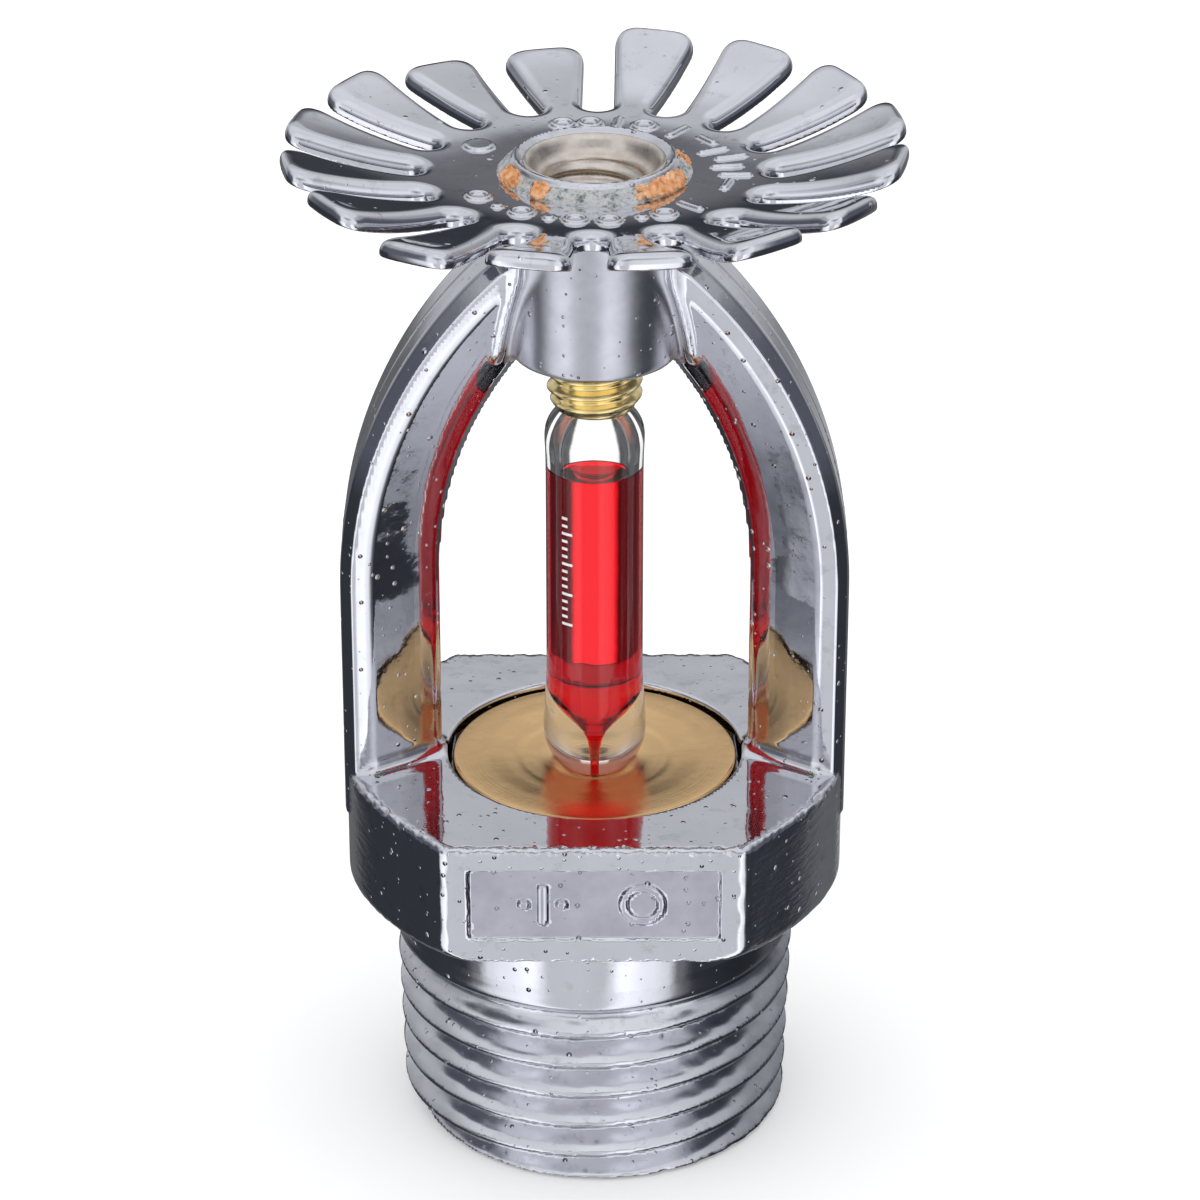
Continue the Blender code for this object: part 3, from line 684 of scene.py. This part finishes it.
# ---------------------------------------------------------------- copper flakes on the swaged collar
def flake_field(x, y, z):
    r = np.hypot(x, y)
    angle = np.degrees(np.arctan2(y, x))

    def near(centre, spread):
        return np.exp(-((((angle - centre + 180) % 360) - 180) / spread) ** 4)

    where = np.maximum(np.maximum(near(-40, 30), near(-158, 16)), np.maximum(near(-127, 8), 0.8 * near(12, 12)))
    rag = 0.10 * wave(x, y, z, 41, 0.7) + 0.09 * wave(x, y, z, 42, 0.25)
    shell = np.abs((r - 4.14) * 0.66 + (z - 52.62) * 0.75) - 0.05
    shell = smax(shell, np.abs((r - 4.48) * -0.75 + (z - 52.36) * 0.66) - 0.36, 0.15)
    crack = np.abs((r - 4.55) * -0.75 + (z - 52.36) * 0.66 + 0.14 * wave(x, y, 0 * z, 43, 1.6)) - 0.03
    shell = np.maximum(shell, -crack)
    return shell + rag + (0.80 - where) * 0.4


flakes = surface("collar_flakes", flake_field, (-5.4, -5.4, 51.9), (5.4, 5.4, 52.95), 0.06)
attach(flakes, "frame_body")


# ---------------------------------------------------------------- load screw
def screw_radius(z, share):
    thread = 2.40 - 0.40 * vee(share)
    tip = 1.97 + max(0.0, z - 39.52) * 0.62
    head = 2.40 - max(0.0, z - 46.1) * 0.7
    return min(thread, tip, head)


screw = helix(
    "load_screw_body", 39.62, 46.55, 0.8, 96, 10, False, screw_radius,
    extra=[(1.9, 46.6), (0.0, 46.6)],
)
# the cupped end below the thread
cup = lathe("load_screw_cup", smooth_profile([(0, 39.97), (0.8, 39.93), (1.5, 39.76), (1.86, 39.54), (1.97, 39.52), (2.06, 39.7), (2.0, 39.9)], 0.08)[::-1], 96)
for piece in (screw, cup):
    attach(piece, "screw_body")
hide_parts("load_screw")


# ---------------------------------------------------------------- bulb
def rounded(points, radius, count=6):
    return smooth_profile(points, radius, count)


outer = [
    (0, 39.8), (0.5, 39.78), (1.0, 39.7), (1.5, 39.53), (1.95, 39.25), (2.25, 38.92), (2.45, 38.5), (2.53, 38.05), (2.52, 37.6), (2.49, 37.0),
    (2.47, 36.0), (2.47, 25.0), (2.50, 24.0), (2.57, 23.0), (2.63, 22.2), (2.65, 21.6), (2.62, 21.1), (2.5, 20.55), (2.25, 20.0), (1.85, 19.5), (1.35, 19.17), (0.8, 18.98), (0.35, 18.92), (0.16, 18.91),
]
inner = [
    (0.12, 19.0), (0.12, 20.0), (0.16, 20.6), (0.25, 21.1), (0.42, 21.55), (0.68, 21.95), (1.0, 22.35), (1.33, 22.8), (1.6, 23.3), (1.72, 23.8), (1.75, 24.4), (1.75, 26.0),
    (1.75, 36.6), (1.74, 37.2), (1.66, 37.8), (1.45, 38.3), (1.1, 38.65), (0.6, 38.85), (0, 38.9),
]
glass = lathe("bulb_glass_tube", rounded(outer, 0.6, 3) + rounded(inner, 0.5, 3), 160)
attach(glass, "bulb_body")
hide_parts("bulb_glass")

over = 0.012
liquid = lathe(
    "bulb_red_liquid",
    [(0, 35.94), (1.0, 35.945), (1.5, 35.97), (1.68, 36.02), (1.75 + over, 36.1), (1.75 + over, 36.0)]
    + [(r + over, z) for r, z in inner[:12][::-1]],
    128,
)
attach(liquid, "bulb_body")
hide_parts("bulb_liquid")

# printed marks: a plain column of ticks up the glass, with no lettering
bm = bmesh.new()
at = 28.2
k = 0
while at < 34.4:
    long = 0.62 if k % 4 == 0 else 0.34
    for start, end, low, high in ((-0.31, -0.31 + long, at, at + 0.14),):
        strip = []
        for i in range(9):
            s = start + (end - start) * i / 8
            a = math.radians(-90 - 34) + s / 2.49
            strip.append([bm.verts.new((rr * math.cos(a) * MM, rr * math.sin(a) * MM, zz * MM)) for rr, zz in ((2.476, low), (2.496, low), (2.496, high), (2.476, high))])
        for a, b in zip(strip, strip[1:]):
            for i in range(4):
                j = (i + 1) % 4
                bm.faces.new((a[i], a[j], b[j], b[i]))
        bm.faces.new(strip[0])
        bm.faces.new(strip[-1])
    at += 0.42
    k += 1
bmesh.ops.recalc_face_normals(bm, faces=bm.faces)
ticks = link("bulb_printed_ticks", bm, smooth=False)
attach(ticks, "bulb_body")


# ---------------------------------------------------------------- button (valve cap)
cap_line = [
    (0, 18.8), (0.9, 18.84), (1.6, 19.04), (2.2, 19.40), (2.7, 19.56), (3.0, 19.6), (3.75, 19.66), (4.0, 19.71), (4.25, 19.735),
    (4.6, 19.76), (5.1, 19.81), (5.6, 19.86), (6.6, 19.9), (7.22, 19.9), (7.35, 19.76), (7.35, 19.1), (7.2, 18.95), (3.4, 18.95), (3.4, 17.1), (3.1, 16.8), (0, 16.8),
]
cap = lathe("button_cap", smooth_profile(cap_line, 0.2, 4), 192)
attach(cap, "valve_body")
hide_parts("button")


# ---------------------------------------------------------------- materials on the pieces
body.data.materials.append(chrome("cast_chrome", (0.75, 0.75, 0.79), 0.055, 1.0, spots=0.6, sides=True))
plate.data.materials.append(chrome("pressed_chrome", (0.77, 0.77, 0.81), 0.05, 0.45, spots=0.5, many=0.35))

mat, nodes, links, shader = new_material("nickel_bore")
at_mm = millimetres(nodes, links)
shader.inputs["Metallic"].default_value = 1.0
shade = ramp(nodes, [(0.3, (0.64, 0.56, 0.48)), (0.7, (0.82, 0.76, 0.69))])
links.new(noise(nodes, links, at_mm, 1.2, 5.0, 0.6), shade.inputs[0])
links.new(shade.outputs[0], shader.inputs["Base Color"])
rr = ramp(nodes, [(0.3, 0.24), (0.7, 0.36)])
links.new(noise(nodes, links, at_mm, 3.0, 4.0, 0.6), rr.inputs[0])
links.new(rr.outputs[0], shader.inputs["Roughness"])
chain_bumps(nodes, links, [(noise(nodes, links, at_mm, 1.2, 3.0, 0.6), 0.06, 0.0002)], shader)
sleeve.data.materials.append(mat)

mat, nodes, links, shader = new_material("flaked_copper")
at_mm = millimetres(nodes, links)
shade = ramp(nodes, [(0.28, (0.35, 0.13, 0.05)), (0.40, (0.80, 0.33, 0.12)), (0.54, (0.95, 0.50, 0.24)), (0.66, (1.0, 0.66, 0.42)), (0.78, (0.95, 0.90, 0.85))])
links.new(noise(nodes, links, at_mm, 2.4, 6.0, 0.65), shade.inputs[0])
links.new(shade.outputs[0], shader.inputs["Base Color"])
shader.inputs["Metallic"].default_value = 0.45
rr = ramp(nodes, [(0.3, 0.3), (0.7, 0.6)])
links.new(noise(nodes, links, at_mm, 5.0, 4.0, 0.6), rr.inputs[0])
links.new(rr.outputs[0], shader.inputs["Roughness"])
chain_bumps(nodes, links, [(noise(nodes, links, at_mm, 6.0, 5.0, 0.7), 0.6, 0.00015)], shader)
flakes.data.materials.append(mat)

screw_mat = brass("screw_brass_turned", (1.0, 0.80, 0.38), 0.16, 0.4, radial=False, stain=0.25)
screw.data.materials.append(screw_mat)
cup.data.materials.append(screw_mat)
cap.data.materials.append(brass("button_brass_turned", (0.90, 0.59, 0.28), 0.16, 1.0, radial=True, stain=0.12))

mat, nodes, links, shader = new_material("clear_glass")
at_mm = millimetres(nodes, links)
shader.inputs["Base Color"].default_value = (0.97, 0.985, 0.98, 1)
shader.inputs["Transmission Weight"].default_value = 1.0
shader.inputs["IOR"].default_value = 1.47
shader.inputs["Specular IOR Level"].default_value = 0.38
rr = ramp(nodes, [(0.45, 0.0), (0.85, 0.035)])
links.new(noise(nodes, links, at_mm, 1.2, 5.0, 0.7), rr.inputs[0])
links.new(rr.outputs[0], shader.inputs["Roughness"])
chain_bumps(nodes, links, [(noise(nodes, links, at_mm, 0.5, 2.0, 0.5), 0.05, 0.0002)], shader)
glass.data.materials.append(mat)

mat, nodes, links, shader = new_material("red_liquid_clear")
at_mm = millimetres(nodes, links)
shade = ramp(nodes, [(0.3, (0.90, 0.002, 0.008)), (0.7, (0.97, 0.004, 0.014))])
links.new(noise(nodes, links, at_mm, 0.3, 2.0, 0.5), shade.inputs[0])
links.new(shade.outputs[0], shader.inputs["Base Color"])
shader.inputs["Transmission Weight"].default_value = 1.0
shader.inputs["Roughness"].default_value = 0.0
shader.inputs["IOR"].default_value = 1.30
liquid.data.materials.append(mat)

mat, nodes, links, shader = new_material("white_print")
at_mm = millimetres(nodes, links)
shade = ramp(nodes, [(0.3, (0.78, 0.70, 0.70)), (0.6, (0.93, 0.9, 0.9))])
links.new(noise(nodes, links, at_mm, 5.0, 4.0, 0.6), shade.inputs[0])
links.new(shade.outputs[0], shader.inputs["Base Color"])
shader.inputs["Roughness"].default_value = 0.45
ticks.data.materials.append(mat)


def plain(name, base, rough, metallic):
    mat, nodes, links, shader = new_material(name)
    at_mm = millimetres(nodes, links)
    shade = ramp(nodes, [(0.3, tuple(c * 0.82 for c in base)), (0.7, base)])
    links.new(noise(nodes, links, at_mm, 1.5, 5.0, 0.6), shade.inputs[0])
    links.new(shade.outputs[0], shader.inputs["Base Color"])
    shader.inputs["Metallic"].default_value = metallic
    rr = ramp(nodes, [(0.3, rough * 0.8), (0.7, rough * 1.25)])
    links.new(noise(nodes, links, at_mm, 3.0, 4.0, 0.6), rr.inputs[0])
    links.new(rr.outputs[0], shader.inputs["Roughness"])
    chain_bumps(nodes, links, [(noise(nodes, links, at_mm, 4.0, 4.0, 0.6), 0.15, 0.0001)], shader)
    return mat


for node, mat in (
    ("belleville_spring", plain("spring_steel_satin", (0.5, 0.5, 0.53), 0.28, 1.0)),
    ("seal_film_upper", plain("ptfe_cream", (0.86, 0.85, 0.8), 0.45, 0.0)),
    ("seal_film_lower", plain("ptfe_cream_lower", (0.86, 0.85, 0.8), 0.45, 0.0)),
):
    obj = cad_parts[node]
    obj.data.materials.clear()
    obj.data.materials.append(mat)

# ---------------------------------------------------------------- stage: floor, sky, camera
bpy.ops.mesh.primitive_plane_add(size=3.0, location=(0, 0, -0.0001))
floor = bpy.context.object
floor.name = "studio_floor"
mat, nodes, links, shader = new_material("studio_paper")
shader.inputs["Base Color"].default_value = (0.93, 0.93, 0.93, 1)
shader.inputs["Roughness"].default_value = 0.9
shader.inputs["Specular IOR Level"].default_value = 0.0
shader.inputs["Emission Color"].default_value = (1.0, 1.0, 1.0, 1)
shader.inputs["Emission Strength"].default_value = 0.12
floor.data.materials.append(mat)
floor.visible_glossy = False
floor.visible_transmission = False

world = bpy.data.worlds.new("studio")
bpy.context.scene.world = world
world.use_nodes = True
nodes, links = world.node_tree.nodes, world.node_tree.links
nodes.clear()
out = nodes.new("ShaderNodeOutputWorld")
coord = nodes.new("ShaderNodeTexCoord")
xyz = nodes.new("ShaderNodeSeparateXYZ")
links.new(coord.outputs["Generated"], xyz.inputs[0])
# azimuth from the front, 0 to 1 for 0 to 180 degrees, the same on both sides; elevation 0 to 1 for -90 to 90
front = math_node(nodes, links, "MULTIPLY", xyz.outputs[1], -1.0)
azimuth = math_node(nodes, links, "ARCTAN2", xyz.outputs[0], front)
azimuth = math_node(nodes, links, "ABSOLUTE", azimuth)
azimuth = math_node(nodes, links, "DIVIDE", azimuth, math.pi)
elevation = math_node(nodes, links, "ARCSINE", xyz.outputs[2])
elevation = math_node(nodes, links, "ADD", math_node(nodes, links, "DIVIDE", elevation, math.pi), 0.5)


# the low lights stand a little to the left of the middle
skewed = math_node(nodes, links, "ARCTAN2", xyz.outputs[0], front)
skewed = math_node(nodes, links, "ABSOLUTE", math_node(nodes, links, "ADD", skewed, math.radians(11)))
skewed = math_node(nodes, links, "DIVIDE", skewed, math.pi)


def at_az(stops, across=azimuth):
    node = ramp(nodes, [(deg / 180, value) for deg, value in stops], "EASE")
    links.new(across, node.inputs[0])
    return node.outputs[0]


def el_mask(stops):
    node = ramp(nodes, [((deg + 90) / 180, value) for deg, value in stops], "EASE")
    links.new(elevation, node.inputs[0])
    return node.outputs[0]


cool = (0.93, 0.95, 1.0)


def t(v, tint=cool):
    return tuple(v * c for c in tint)


blue = (0.80, 0.88, 1.08)
low = at_az([(0, t(0.74)), (15, t(0.72)), (27, t(1.45)), (44, t(1.15)), (53, t(0.95)), (62, t(0.20)), (72, t(0.05, blue)), (118, t(0.045, blue)), (138, t(0.15)), (163, t(0.13)), (180, t(0.40))], skewed)
level = at_az([(0, t(0.75)), (25, t(0.95)), (52, t(1.0)), (66, t(0.16, blue)), (110, t(0.12, blue)), (135, t(0.40)), (155, t(0.62)), (166, t(0.30)), (173, t(0.06, blue)), (180, t(0.05, blue))])
mid = at_az([(0, t(0.35)), (20, t(0.55)), (45, t(0.95)), (75, t(0.50)), (110, t(0.42)), (145, t(0.66)), (162, t(0.64)), (180, t(0.60))])
high = at_az([(0, t(0.95)), (60, t(0.85)), (120, t(0.80)), (180, t(0.85))])
sky = mix(nodes, links, el_mask([(-14, 0.0), (-4, 1.0)]), low, level)
sky = mix(nodes, links, el_mask([(12, 0.0), (21, 0.24), (28, 1.0)]), sky, mid)
sky = mix(nodes, links, el_mask([(34, 0.0), (50, 1.0)]), sky, high)

lobe = nodes.new("ShaderNodeBackground")
links.new(sky, lobe.inputs[0])
lobe.inputs[1].default_value = 1.05
plainlight = nodes.new("ShaderNodeBackground")
plainlight.inputs[0].default_value = (1.0, 1.0, 1.0, 1)
plainlight.inputs[1].default_value = 1.3
# seen through the glass: the white sweep straight behind, dark flags at both sides
through = at_az([(0, t(0.45)), (40, t(0.45)), (60, t(0.09)), (166.2, t(0.09)), (169.4, t(1.22, (1, 1, 1))), (180, t(1.22, (1, 1, 1)))])
# painted reflection: rays through the glass that rise above 12 degrees see a red-brown tint, which colours the base of
# the bulb
through = mix(nodes, links, el_mask([(0, 0.0), (12, 1.0)]), through, (0.40, 0.17, 0.12))
glassy = nodes.new("ShaderNodeBackground")
links.new(through, glassy.inputs[0])
glassy.inputs[1].default_value = 1.0
path = nodes.new("ShaderNodeLightPath")
first = nodes.new("ShaderNodeMixShader")
links.new(path.outputs["Is Transmission Ray"], first.inputs[0])
links.new(lobe.outputs[0], first.inputs[1])
links.new(glassy.outputs[0], first.inputs[2])
chooser = nodes.new("ShaderNodeMixShader")
see_white = math_node(nodes, links, "MAXIMUM", path.outputs["Is Camera Ray"], path.outputs["Is Diffuse Ray"])
links.new(see_white, chooser.inputs[0])
links.new(first.outputs[0], chooser.inputs[1])
links.new(plainlight.outputs[0], chooser.inputs[2])
links.new(chooser.outputs[0], out.inputs[0])

tilt = math.radians(26.308)
camera_data = bpy.data.cameras.new("camera")
camera_data.sensor_width = 36.0
camera_data.lens = 36.0 * 4720 / 1200
camera_data.clip_start = 0.01
camera_data.clip_end = 20
camera_data.shift_x = 5.36 / 1200
camera = bpy.data.objects.new("camera", camera_data)
bpy.context.scene.collection.objects.link(camera)
distance = 0.24065
camera.location = (0, -distance * math.cos(tilt), 0.02862 + distance * math.sin(tilt))
camera.rotation_euler = (math.pi / 2 - tilt, 0, 0)
bpy.context.scene.camera = camera
bpy.context.scene.view_settings.view_transform = "Standard"
bpy.context.scene.view_settings.look = "None"
